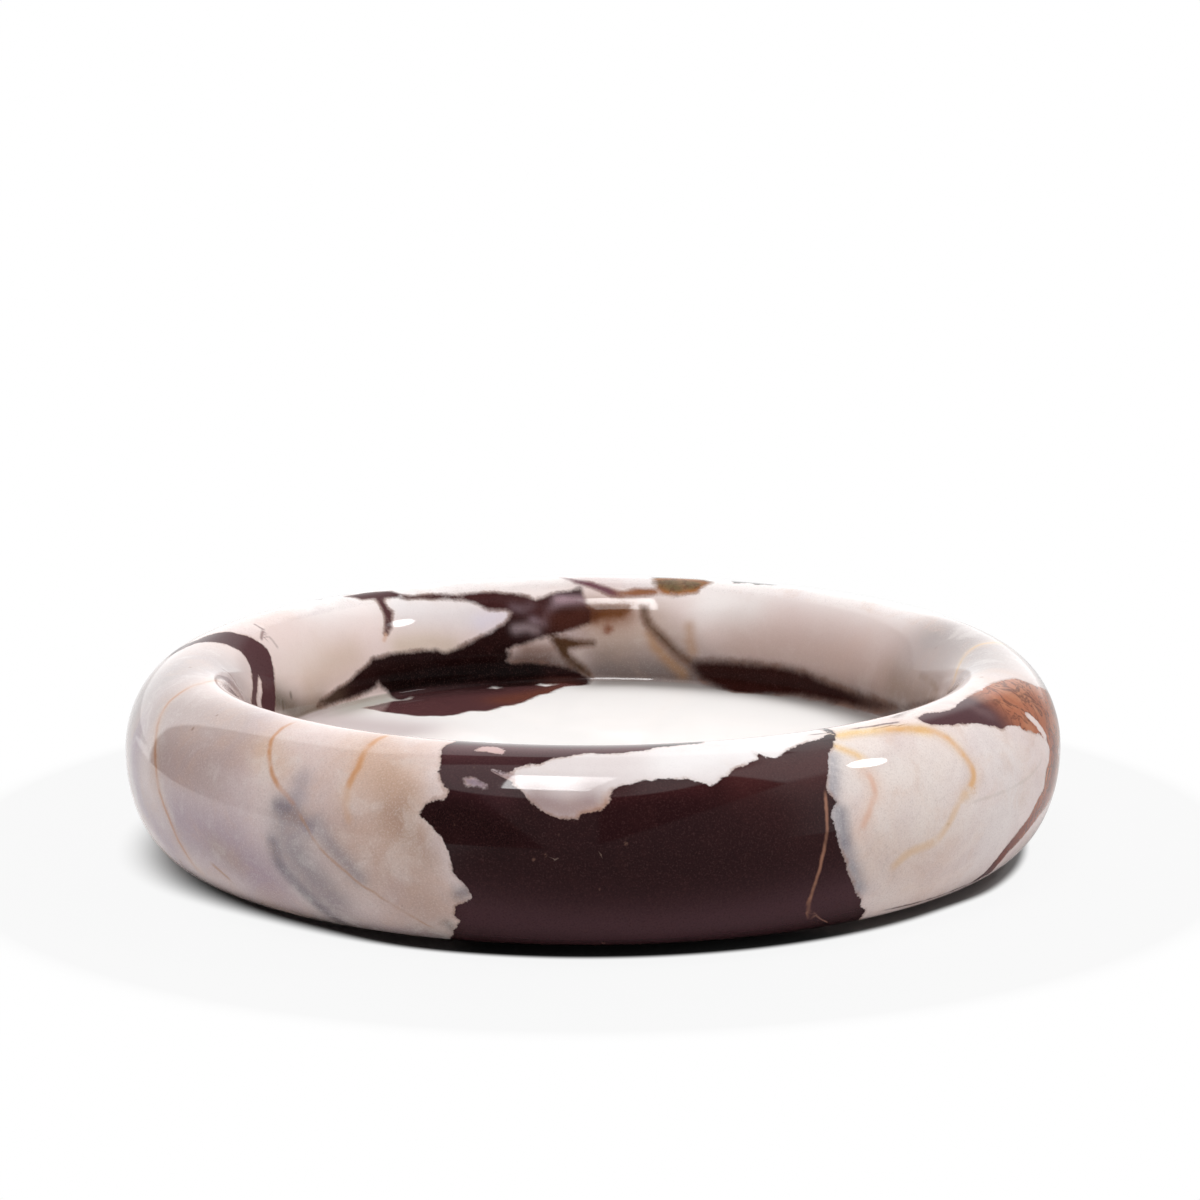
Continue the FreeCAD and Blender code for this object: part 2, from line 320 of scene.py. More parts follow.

# Soft tints, in the order they are laid. Some are painted shade, painted light or painted reflection, as
# marked.
clouds = dict(
    # painted shade: the left rim is greyed where it is less lit
    left_rim_shade=Cloud(px(150,690, 200,665, 240,690), (152, 138, 138), 8.0, 0.8),
    left_edge_lilac=Cloud(px(136,740, 140,800, 172,850), (174, 150, 164), 3.0, 0.9),
    left_grey_brown=Cloud(px(165,757, 190,760, 235,755), (190, 162, 156), 3.0, 0.65),
    left_warm_tan=Cloud(px(258,745, 285,762), (224, 188, 160), 2.6, 0.7),
    left_low_lilac=Cloud(px(180,820, 230,845, 265,880), (174, 150, 164), 5.0, 0.85),
    left_low_brown=Cloud(px(215,846, 236,862), (186, 158, 142), 1.6, 0.5),
    middle_lilac=Cloud(px(305,745, 325,770, 322,800), (228, 206, 202), 3.2, 0.7),
    tan_field=Cloud(px(372,750, 390,790, 405,830), (221, 186, 164), 5.0, 0.8),
    tan_low=Cloud(px(345,840, 385,870, 425,905), (194, 160, 144), 4.5, 0.75),
    tan_brown=Cloud(px(388,776, 402,788, 412,802, 404,815), (198, 162, 138), 2.4, 0.5),
    tan_shade=Cloud(px(396,815, 412,836, 428,850), (176, 144, 128), 2.6, 0.7),
    lobe_shade=Cloud(px(656,618, 668,634, 682,648), (186, 162, 150), 3.0, 0.75),
    lobe_white=Cloud(px(712,606, 745,610), (255, 250, 248), 3.2, 0.7),
    tail_pale=Cloud(at(-112,-9, -118,-9, -126,-8), (228, 212, 200), 3.0, 0.4),
    slate_field=Cloud(px(288,825, 294,850, 309,872, 332,900), (134, 126, 132), 2.8, 0.75),
    slate_streak=Cloud(px(302,780, 300,792, 292,802), (160, 150, 160), 1.3, 0.55),
    slate_core=Cloud(px(273,843, 278,862, 297,885, 317,904, 340,921), (100, 96, 108), 0.9, 0.7),
    # painted reflection: greys the left wall where it mirrors the dark opening of the room
    left_lens_painted_reflection=Cloud(px(160,755, 185,765, 215,775), (192, 168, 164), 3.0, 0.7),
    slate_knot=Cloud(px(278,805, 290,811, 309,828), (116, 110, 122), 0.9, 0.7),
    slate_branch=Cloud(px(317,824, 332,847, 347,864, 359,877), (136, 130, 138), 1.2, 0.6),
    edge_lilac=Cloud(px(436,780, 432,815, 445,850, 462,890), (224, 210, 210), 1.4, 0.5),
    # pale tone of the right wall, made lighter still as painted light from the side
    right_pale_and_light=Cloud(px(860,765, 930,780, 900,850), (236, 224, 217), 8.0, 0.85),
    right_tan=Cloud(px(880,850, 930,870, 960,850), (228, 204, 190), 4.0, 0.6),
    # pale lilac tone of the far right, made lighter still as painted light from the side
    right_far_lilac_and_light=Cloud(px(990,745, 1015,790, 990,840), (240, 231, 227), 6.0, 0.85),
    right_fringe=Cloud(px(832,758, 831,800, 837,825, 847,855, 859,890), (140, 140, 152), 1.1, 0.75),
    right_spots=Cloud(px(843,812, 846,842), (118, 118, 130), 0.8, 0.6),
    # painted shade: greys the lower part of the white tongue
    tongue_low_shade=Cloud(px(535,800, 565,810, 590,803), (162, 136, 134), 1.8, 0.9),
    tongue_haze=Cloud(px(596,787, 606,786, 618,785), CREAM, 2.0, 0.0, polish=0.35),
    tongue_rust=Cloud(px(582,816, 596,812, 606,806, 610,796), (186, 140, 112), 0.5, 0.8),
    # olive spots of the stone, darkened further as painted shade at the foot of the left wall
    left_foot_olive_and_shade=Cloud(px(274,700, 288,707, 300,712, 318,708), (98, 86, 70), 2.2, 0.9),
    # painted shade: greys the floor where it meets the left wall
    left_floor_corner_shade=Cloud(px(335,708, 355,700, 382,692), (150, 144, 132), 3.2, 0.85, flat=True),
    back_left_tan=Cloud(px(312,684, 328,670, 350,654), (206, 180, 158), 2.6, 0.55),
    grey_chip=Cloud(px(514,606, 522,608, 531,605), (168, 150, 160), 0.7, 0.85, dark=True),
    grey_arm=Cloud(px(557,603, 549,611, 544,622, 534,620), (172, 150, 160), 0.65, 0.85, dark=True),
    grey_wedge=Cloud(px(516,629, 526,627, 536,630), (152, 134, 138), 0.7, 0.85, dark=True),
    # painted highlight: a pale band over the top of the back's dark mass
    back_painted_highlight=Cloud(px(558.6,599.8, 582.4,600.5), (206, 174, 184), 0.8, 0.75, dark=True),
    back_red=Cloud(px(551.4,617.6, 568.1,621.2, 582,614), (74, 40, 32), 2.2, 0.9, dark=True),
    # reddish-brown strip of the stone, made lighter at the crest as painted reflection
    back_strip_and_reflection=Cloud(
        px(408.6,596.2, 458.6,595, 496.7,599.8, 534.8,603.3), (70, 38, 38), 2.2, 0.85, dark=True),
    back_smudge=Cloud(px(570.5,630.7, 584.8,634.3), (170, 150, 154), 1.3, 0.8),
    back_white=Cloud(px(401.4,608.1, 432.4,610.5, 463.3,612.9), (226, 219, 220), 3, 0.8),
    back_lobe=Cloud(px(482.4,621.2, 501.4,615.2), (224, 218, 232), 1.6, 0.7),
    back_low_tan=Cloud(px(401.4,646.2, 430,643.8, 449,647.4), (206, 186, 160), 1.8, 0.6),
    back_wedge_pale=Cloud(px(527.6,651, 548,652), (140, 112, 100), 1.8, 0.9),
    back_wedge_brown=Cloud(px(516,661, 544,661, 562,662, 572,668), (84, 58, 48), 1.3, 0.9),
    # painted shade: greys the middle of the back wall
    back_middle_shade=Cloud(px(606,625, 608,645, 622,640), (200, 176, 160), 4.0, 0.8),
    back_foot_shade=Cloud(
        at(98,-14.5, 115,-14.5, 130,-14.5, 145,-14.5, 160,-14.5, 178,-14.5), (74, 58, 52), 4.2, 0.85),
    ochre_halo=Cloud(px(588,613, 608,615, 624,612), (132, 84, 50), 2.2, 0.95),
    crack_ochre=Cloud(px(650,633, 655,646, 664,656, 675,667, 683,673), (170, 124, 78), 0.8, 0.65),
    lobe_ochre=Cloud(px(689,626, 690,640, 693,651), (176, 132, 90), 0.8, 0.55),
    olive_edge=Cloud(
        px(654.8,579.5, 675.2,578.6, 696.7,580.5, 708.6,583.3, 696.7,591, 675.2,594.8, 661,591.9),
        (176, 112, 60), 0.5, 0.85, dark=True),
    streak_rust=Cloud(px(625,592.5, 640,592, 656,591), (158, 104, 66), 1.2, 0.85, dark=True),
    right_tail=Cloud(px(868,702, 884,706, 898,711), (84, 60, 52), 2.0, 0.8, dark=True),
    stripe_red=Cloud(
        px(1054,740, 1053,770, 1048,795, 1035,815, 1018,838, 1000,860), (132, 62, 44), 1.5, 0.9, dark=True),
    right_wall_haze=Cloud(at(96,-8, 110,-9, 125,-9), CREAM, 7.0, 0.0, polish=0.15),
    # painted light: whitens the right edge and the back rim where the light blows them out
    right_edge_painted_light=Cloud(at(88,10, 90,15, 86,22, 78,26), (255, 252, 250), 4.5, 0.95),
    back_rim_painted_light=Cloud(at(-172,1, -150,1, -130,0), (255, 252, 251), 4.5, 0.9),
    back_rim_painted_light_right=Cloud(at(172,1, 150,1, 120,1), (255, 250, 249), 4.5, 0.9),
    # tan tone of the stone, darkened as painted shade on the lower inner right wall
    right_wall_tan_and_shade=Cloud(px(740,642, 820,652, 880,672), (188, 158, 146), 4.0, 0.6),
    # painted shade: darkens the inner right wall at its foot
    right_wall_foot_shade=Cloud(px(895,682, 915,690, 935,695), (150, 124, 106), 3.0, 0.7),
    mass_low=Cloud(at(-142,-14, -155,-14, -168,-14), (12, 5, 5), 3.0, 0.9, dark=True),
    mass_tail=Cloud(px(318,705, 326,700, 336,694), (84, 66, 54), 2.0, 0.8, dark=True),
    brown_cell=Cloud(px(978,710, 988,714), (116, 88, 90), 1.0, 0.7, dark=True),
    crest_white=Cloud(px(670,762, 725,756, 790,744), (252, 248, 248), 2.5, 0.85),
    left_upper_grey=Cloud(px(165,705, 205,708, 250,718), (180, 160, 156), 4.0, 0.75),
    dark_crest=Cloud(px(450,756, 480,760, 512,764), (70, 36, 40), 3.0, 0.8, dark=True),
    # painted reflection: lightens the dark patch's shoulder where it mirrors the ceiling
    shoulder_painted_reflection=Cloud(px(450,778, 475,786, 500,797), (66, 33, 38), 1.8, 0.8, dark=True),
    # painted reflection: deepens the dark patch where it mirrors the dark opening
    dark_patch_lens_reflection=Cloud(px(438,816, 470,814, 505,834), (26, 12, 12), 2.6, 0.5, dark=True),
    dark_tongue_edge=Cloud(px(612,793, 650,788, 700,788), (62, 29, 31), 1.2, 0.8, dark=True),
    slate_chip=Cloud(px(458,896, 467,891), (112, 106, 112), 0.8, 0.75),
    slate_foot=Cloud(px(448,924, 454,930), (122, 110, 104), 0.7, 0.7),
    dark_crest_line=Cloud(px(455,748, 500,747, 560,750, 640,748), (98, 54, 60), 1.5, 0.8, dark=True),
    dark_right_crest=Cloud(px(745,775, 775,768, 800,772, 826,762), (82, 42, 42), 3.0, 0.75, dark=True),
    dark_right_wall=Cloud(px(780,812, 812,832), (54, 28, 29), 4.0, 0.6, dark=True),
    dark_foot=Cloud(px(470,915, 560,926, 650,927, 750,917, 850,895), (84, 56, 62), 3.5, 0.75, dark=True),
    # painted shade: darkens the outer wall towards the underside's edge
    left_low_edge_shade=Cloud(at(-68,26.5, -48,26.5, -30,26.5, -19,26.5), (64, 52, 50), 2.4, 0.85),
    # painted shade: greys the left of the dish floor
    floor_left_shade=Cloud(px(330,722, 400,730), (206, 190, 190), 6.0, 0.8, flat=True),
    floor_red_end=Cloud(px(505,700, 535,695, 562,689), (124, 72, 58), 2.6, 0.9, flat=True, dark=True),
    floor_dark_streak=Cloud(px(400,698, 440,694, 490,690), (70, 42, 44), 1.6, 0.7, flat=True, dark=True),
    # painted shade: greys the crest of the right rim
    right_rim_shade=Cloud(at(108,-2, 94,-1, 82,-2), (162, 150, 148), 7.0, 0.9),
    gold_crest=Cloud(px(838,736, 850,733, 870,731, 880,729, 895,728, 910,728.5, 925,730), GOLD, 0.8, 0.9),
    gold_line=Cloud(px(836,746, 842,749, 855,754, 860,757), GOLD, 0.5, 0.8),
    orange_halo=Cloud(veins["orange_vein"].line, (230, 194, 150), 0.9, 0.45),
    pink_halo=Cloud(veins["pink_vein"].line, (232, 196, 176), 1.2, 0.5),
    arc_halo=Cloud(veins["orange_arc"].line, (236, 206, 170), 0.8, 0.4),
    left_halo=Cloud(veins["left_vein"].line, (222, 184, 156), 0.8, 0.45),
    tan_halo=Cloud(veins["tan_vein"].line, (224, 180, 146), 0.9, 0.5),
)

# Rings of the stone's mesh in each stretch of its section, from the floor's centre outwards
AXIS_GAP = 2.0  # mm from the axis to the first ring and to the last
FINE_FLOOR = 14.0  # mm of floor next to the wall that have close rings
FLOOR_RINGS = 12
FINE_FLOOR_RINGS = 28
FILLET_RINGS = 6
WALL_RINGS = 37
SHOULDER_RINGS = 36
SIDE_RINGS = 35
UNDERSIDE_RINGS = 26


def prepare_section(sizes):
    """Radius and height in mm of each ring, from the floor's centre over the rim to the underside's."""

    def quarter(start, end, corner, count):
        """Quarter of an ellipse, without its first point."""
        start, end, corner = np.array(start), np.array(end), np.array(corner)
        centre = start + end - corner
        angles = np.linspace(0, math.pi / 2, count + 1)[1:]
        return centre + np.outer(np.cos(angles), start - centre) + np.outer(np.sin(angles), end - centre)

    def level(radii, height):
        """Rings that all lie at one height."""
        return np.column_stack([radii, np.full(len(radii), height)])

    outer = sizes.outer_radius / MM
    crest_radius = outer - sizes.crest_inset / MM
    foot_radius = outer - sizes.rim_width / MM
    underside_radius = outer - sizes.underside_inset / MM
    underside = sizes.underside_height / MM
    crest = sizes.crest_height / MM
    widest = sizes.widest_height / MM
    floor = sizes.floor_height / MM
    fillet = sizes.floor_fillet / MM
    floor_radius = foot_radius - fillet
    foot = floor + fillet
    finer = floor_radius - FINE_FLOOR
    parts = [
        level(np.linspace(AXIS_GAP, finer, FLOOR_RINGS), floor),
        level(np.linspace(finer, floor_radius, FINE_FLOOR_RINGS + 1)[1:], floor),
        quarter((floor_radius, floor), (foot_radius, foot), (foot_radius, floor), FILLET_RINGS),
        quarter((foot_radius, foot), (crest_radius, crest), (foot_radius, crest), WALL_RINGS),
        quarter((crest_radius, crest), (outer, widest), (outer, crest), SHOULDER_RINGS),
        quarter((outer, widest), (underside_radius, underside), (outer, underside), SIDE_RINGS),
        level(np.linspace(underside_radius, AXIS_GAP, UNDERSIDE_RINGS + 1)[1:], underside),
    ]
    return np.vstack(parts)


def camera_axes(view):
    """Right, up and forward directions of the camera."""
    pitch, yaw, roll = view.pitch, view.yaw, view.roll
    forward = Vector((math.sin(yaw) * math.cos(pitch), math.cos(yaw) * math.cos(pitch), -math.sin(pitch)))
    level_right = Vector((math.cos(yaw), -math.sin(yaw), 0))
    level_up = level_right.cross(forward)
    right = math.cos(roll) * level_right + math.sin(roll) * level_up
    up = math.cos(roll) * level_up - math.sin(roll) * level_right
    return right, up, forward


EDGE_STEP = 0.5  # pixels by which a picked point off the stone is moved in at a time
EDGE_STEPS = 40
LEVEL_MARGIN = 0.01  # mm above the floor at which the fillet begins
PLAN_MARGIN = 1.0  # mm past the floor's edge that a marking drawn in plan may reach


class StonePlan:
    """Turn and station of every point of the stone, and where a picked point of the photograph falls."""

    def __init__(self, mesh, rings, turns, view):
        count = len(mesh.vertices)
        points = np.zeros(count * 3)
        mesh.vertices.foreach_get("co", points)
        points = points.reshape(-1, 3) / MM
        self.rings = rings
        steps = np.hypot(*np.diff(rings, axis=0).T)
        self.ring_stations = np.concatenate([[0], np.cumsum(steps)])
        self.ring_stations -= self.ring_stations[np.argmax(rings[:, 1])]
        self.plan = points[:, :2]
        self.turn = np.degrees(np.arctan2(points[:, 0], -points[:, 1]))
        self.station = np.zeros(count)
        self.station[: len(rings) * turns] = np.repeat(self.ring_stations, turns)
        self.station[-2] = self.ring_stations[0] - rings[0, 0]
        self.station[-1] = self.ring_stations[-1] + rings[-1, 0]
        self.floor_station = self.ring_stations[np.argmax(rings[:, 1] > rings[0, 1] + LEVEL_MARGIN)]
        corners = [list(polygon.vertices) for polygon in mesh.polygons]
        self.tree = BVHTree.FromPolygons([vertex.co for vertex in mesh.vertices], corners)
        self.eye = Vector(view.location)
        self.axes = camera_axes(view)
        self.focal = view.lens / view.sensor * PHOTO_WIDTH

    def ray(self, x, y):
        """Direction from the camera through a pixel."""
        right, up, forward = self.axes
        half = PHOTO_WIDTH / 2
        return (forward + right * ((x - half) / self.focal) - up * ((y - half) / self.focal)).normalized()

    def cast(self, x, y):
        """Place on the stone seen at a pixel. A pixel just off its edge is moved in towards the middle."""
        middle_x, middle_y = DISH_MIDDLE
        away = math.hypot(x - middle_x, y - middle_y)
        for step in range(EDGE_STEPS):
            share = 1 - EDGE_STEP * step / away
            seen = self.ray(middle_x + (x - middle_x) * share, middle_y + (y - middle_y) * share)
            place = self.tree.ray_cast(self.eye, seen)[0]
            if place is not None:
                return place / MM
        raise RuntimeError(f"pixel {x}, {y} is not on the stone")

    def turned(self, place):
        """Turn and station of a place on the stone."""
        spot = np.array([math.hypot(place.x, place.y), place.z])
        start, run = self.rings[:-1], np.diff(self.rings, axis=0)
        along = np.clip(((spot - start) * run).sum(1) / (run**2).sum(1), 0, 1)
        near = np.argmin(np.hypot(*(start + along[:, None] * run - spot).T))
        station = self.ring_stations[near] + along[near] * np.diff(self.ring_stations)[near]
        return math.degrees(math.atan2(place.x, -place.y)), station

    def from_above(self, turn, station):
        """Where a turn and station lie in a view from above."""
        radius = np.interp(station, self.ring_stations, self.rings[:, 0])
        return radius * math.sin(math.radians(turn)), -radius * math.cos(math.radians(turn))

    def resolve(self, line, flat):
        """A line's points and the stone's own in one flat plan, in mm, and which of these may be marked."""
        if flat:
            spots = [
                self.cast(a, b)[:2] if kind == "photo" else self.from_above(a, b) for kind, a, b in line
            ]
            return np.array(spots), self.plan, self.station < self.floor_station + PLAN_MARGIN
        spots = [self.turned(self.cast(a, b)) if kind == "photo" else (a, b) for kind, a, b in line]
        spots = np.array(spots)
        heading = np.radians(spots[:, 0])
        middle = math.degrees(math.atan2(np.sin(heading).mean(), np.cos(heading).mean()))
        radius = np.interp(spots[:, 1], self.ring_stations, self.rings[:, 0]).mean()
        scale = math.radians(1) * radius

        def unroll(turn, station):
            return np.column_stack([((turn - middle + 180) % 360 - 180) * scale, station])

        return unroll(*spots.T), unroll(self.turn, self.station), np.ones(len(self.turn), bool)


CORNER_CUT = 0.25  # share of an edge that is cut off at each corner of a line
CORNER_ROUNDS = 2
LONG_EDGE = 2.5  # mm, above which an unseen edge of an outline wanders
TORN_STEP = 0.9  # mm between the points of such an edge
TORN_SHARE = 0.11  # how far it wanders, as a share of its length
SWINGS = ((1.0, 7.0, 2.1), (0.4, 16.0, 5.3))  # size, pace along an edge, and shift from edge to edge
TINY = 1e-9  # keeps the length of an edge from being nought


def near_points(spots, points, allowed, margin):
    """Indices of the points within a margin of the box round some spots."""
    low, high = spots.min(0) - margin, spots.max(0) + margin
    return np.nonzero(allowed & (points > low).all(1) & (points < high).all(1))[0]


def rounded(spots):
    """The same line with its corners cut back."""
    for _ in range(CORNER_ROUNDS):
        if len(spots) < 3:
            return spots
        near = spots[:-1] * (1 - CORNER_CUT) + spots[1:] * CORNER_CUT
        far = spots[:-1] * CORNER_CUT + spots[1:] * (1 - CORNER_CUT)
        middle = np.stack([near, far], 1).reshape(-1, 2)
        spots = np.vstack([spots[:1], middle[1:-1], spots[-1:]])
    return spots


def torn(spots, outline):
    """A closed outline whose long edges out of the photograph's sight wander, as a patch in stone does."""
    torn_spots = []
    unseen = [kind == "turned" for kind, *_ in outline]
    for index, (near, far) in enumerate(zip(spots, np.roll(spots, -1, axis=0))):
        run = far - near
        length = math.hypot(*run)
        side = np.array([-run[1], run[0]]) / max(length, TINY)
        wanders = length > LONG_EDGE and unseen[index] and unseen[(index + 1) % len(unseen)]
        count = int(length / TORN_STEP) if wanders else 1
        for share in np.arange(count) / count:
            swing = sum(size * math.sin(pace * share + shift * index) for size, pace, shift in SWINGS)
            wide = TORN_SHARE * length * swing * math.sin(math.pi * share)
            torn_spots.append(near + share * run + side * wide)
    return np.array(torn_spots)


def from_edge(points, start, end):
    """For each point: share of the way along an edge to the place nearest to it, and distance from there."""
    run = end - start
    along = np.clip((points - start) @ run / max(run @ run, TINY), 0, 1)
    return along, np.hypot(*(points - start - along[:, None] * run).T)


def signed_depth(spots, points):
    """Distance of points from a closed outline, positive inside it."""
    nearest = np.full(len(points), np.inf)
    inside = np.zeros(len(points), bool)
    x, y = points.T
    for start, end in zip(spots, np.roll(spots, -1, axis=0)):
        nearest = np.minimum(nearest, from_edge(points, start, end)[1])
        if start[1] != end[1]:
            crossing = start[0] + (y - start[1]) * (end[0] - start[0]) / (end[1] - start[1])
            inside ^= ((start[1] > y) != (end[1] > y)) & (x < crossing)
    return np.where(inside, nearest, -nearest)


def line_offsets(spots, points):
    """For each point: offset to the side of a line, distance from it, and share of the way along it."""
    side = np.full(len(points), np.inf)
    nearest = np.full(len(points), np.inf)
    way = np.zeros(len(points))
    lengths = np.hypot(*np.diff(spots, axis=0).T)
    passed = 0
    for start, end, length in zip(spots[:-1], spots[1:], lengths):
        along, distance = from_edge(points, start, end)
        closer = distance < nearest
        run, apart = end - start, points - start
        turned_left = np.where(run[0] * apart[:, 1] - run[1] * apart[:, 0] >= 0, 1, -1)
        side = np.where(closer, turned_left * distance, side)
        way = np.where(closer, (passed + along * length) / lengths.sum(), way)
        nearest = np.minimum(nearest, distance)
        passed += length
    return side, nearest, way


def smooth_share(value, low, high):
    """Share from 0 to 1 that rises smoothly between two values."""
    share = np.clip((value - low) / (high - low), 0, 1)
    return share * share * (3 - 2 * share)


FAR = 4.0  # mm, the distance written where no patch or vein is near
FLOOR_EDGE = 0.5  # mm past the floor's edge that still look like the floor
FLOOR_POLISH = 0.1
FLOOR_MOTTLE = 0.06
WALL_TOP = -3.0  # station at which the inner wall begins
BACK_TURN = 90.0  # degrees, beyond which the inner wall is at the back
WALL_MOTTLE = 0.3
PALE_FADE = (-0.6, 0.2)  # mm of depth over which a pale patch takes its colour
PALE_CALM = 0.7  # share of the mottling that a pale patch takes away
POLISH_EDGE = -0.2  # mm of depth at which a dark patch's polish begins
CLOUD_MARGIN = 2.5  # reaches beyond which a cloud is not drawn
VEIN_REACH = 1.2  # mm, beyond which a vein is not drawn
VEIN_TAPER = 0.08  # share of a vein's length over which each end fades
VEIN_HALF_WIDTH = 0.1  # mm, written where no vein is near


def blank_marks(plan):
    """Marks of plain stone by the names of their attributes: calm white on the floor, cream elsewhere."""
    count = len(plan.turn)
    on_floor = plan.station < plan.floor_station + FLOOR_EDGE
    on_back_wall = (plan.station < WALL_TOP) & ~on_floor & (np.abs(plan.turn) > BACK_TURN)
    return {
        "dark_depth": np.full(count, -FAR),
        "edge_softness": np.full(count, Patch.softness),
        "edge_ragged": np.ones(count),
        "polish": np.where(on_floor, FLOOR_POLISH, 1.0),
        "marbled": np.zeros(count),
        "mottle": np.where(on_floor, FLOOR_MOTTLE, np.where(on_back_wall, WALL_MOTTLE, 1.0)),
        "vein_offset": np.full(count, FAR),
        "vein_reach": np.full(count, FAR),
        "vein_strength": np.zeros(count),
        "vein_half_width": np.full(count, VEIN_HALF_WIDTH),
        "dark_colour": np.tile(shade(CHOCOLATE), (count, 1)),
        "ground_colour": np.where(on_floor[:, None], shade(WHITE), shade(CREAM)),
        "vein_colour": np.tile(shade(TAN), (count, 1)),
    }


def lay_patch(marks, plan, patch):
    """Lays a dark patch over the stone, or cuts a pale one back to the ground."""
    spots, points, allowed = plan.resolve(patch.outline, patch.flat)
    spots = torn(spots, patch.outline)
    chosen = near_points(spots, points, allowed, FAR)
    inside = np.maximum(signed_depth(spots, points[chosen]), -FAR)
    depth = marks["dark_depth"][chosen]
    over = -inside < depth if patch.pale else inside > depth
    changed = chosen[over]
    marks["edge_softness"][changed] = patch.softness
    marks["edge_ragged"][changed] = patch.ragged
    if patch.pale:
        share = smooth_share(inside, *PALE_FADE)
        ground = marks["ground_colour"]
        ground[chosen] += share[:, None] * (shade(patch.colour) - ground[chosen])
        marks["mottle"][chosen] *= 1 - PALE_CALM * share
        marks["dark_depth"][chosen] = np.minimum(depth, -inside)
        return
    colour = np.tile(shade(patch.colour), (len(chosen), 1))
    share = np.ones(len(chosen))
    if patch.far_colour:
        share = smooth_share(plan.turn[chosen], *patch.turns)
        colour += share[:, None] * (shade(patch.far_colour) - colour)
    marks["dark_colour"][changed] = colour[over]
    marks["marbled"][changed] = patch.marbled * share[over]
    marks["polish"][chosen[over & (inside > POLISH_EDGE)]] = patch.polish
    marks["dark_depth"][chosen] = np.maximum(depth, inside)


def lay_cloud(marks, plan, cloud):
    """Tints the ground or the dark patches along a line."""
    spots, points, allowed = plan.resolve(cloud.line, cloud.flat)
    chosen = near_points(spots, points, allowed, cloud.reach * CLOUD_MARGIN)
    distance = line_offsets(spots, points[chosen])[1]
    share = np.exp(-((distance / cloud.reach) ** 2))
    tinted = marks["dark_colour" if cloud.dark else "ground_colour"]
    tinted[chosen] += cloud.strength * share[:, None] * (shade(cloud.colour) - tinted[chosen])
    marks["polish"][chosen] *= 1 - share * (1 - cloud.polish)


def lay_vein(marks, plan, vein):
    """Draws a vein wherever no earlier one is nearer."""
    spots, points, allowed = plan.resolve(vein.line, False)
    chosen = near_points(spots, points, allowed, FAR)
    side, distance, way = line_offsets(rounded(spots), points[chosen])
    closer = distance < marks["vein_reach"][chosen]
    chosen, side, distance, way = chosen[closer], side[closer], distance[closer], way[closer]
    ends = smooth_share(np.minimum(way, 1 - way), 0, VEIN_TAPER)
    marks["vein_offset"][chosen] = side
    marks["vein_reach"][chosen] = distance
    marks["vein_strength"][chosen] = vein.strength * ends * (distance < VEIN_REACH)
    marks["vein_half_width"][chosen] = vein.half_width
    marks["vein_colour"][chosen] = shade(vein.colour)


def mark_stone(mesh, plan):
    """Writes the stone's patches, tints and veins on its points."""
    marks = blank_marks(plan)
    for lay, group in ((lay_patch, patches), (lay_cloud, clouds), (lay_vein, veins)):
        for mark in group.values():
            lay(marks, plan, mark)
    for name, values in marks.items():
        if values.ndim == 1:
            mesh.attributes.new(name, "FLOAT", "POINT").data.foreach_set("value", values)
        else:
            filled = np.column_stack([values, np.ones(len(values))])
            mesh.attributes.new(name, "FLOAT_COLOR", "POINT").data.foreach_set("color", filled.ravel())


# Sockets of the node that mixes two colours
MIX_SHARE, MIX_FIRST, MIX_SECOND, MIX_RESULT = 0, 6, 7, 2


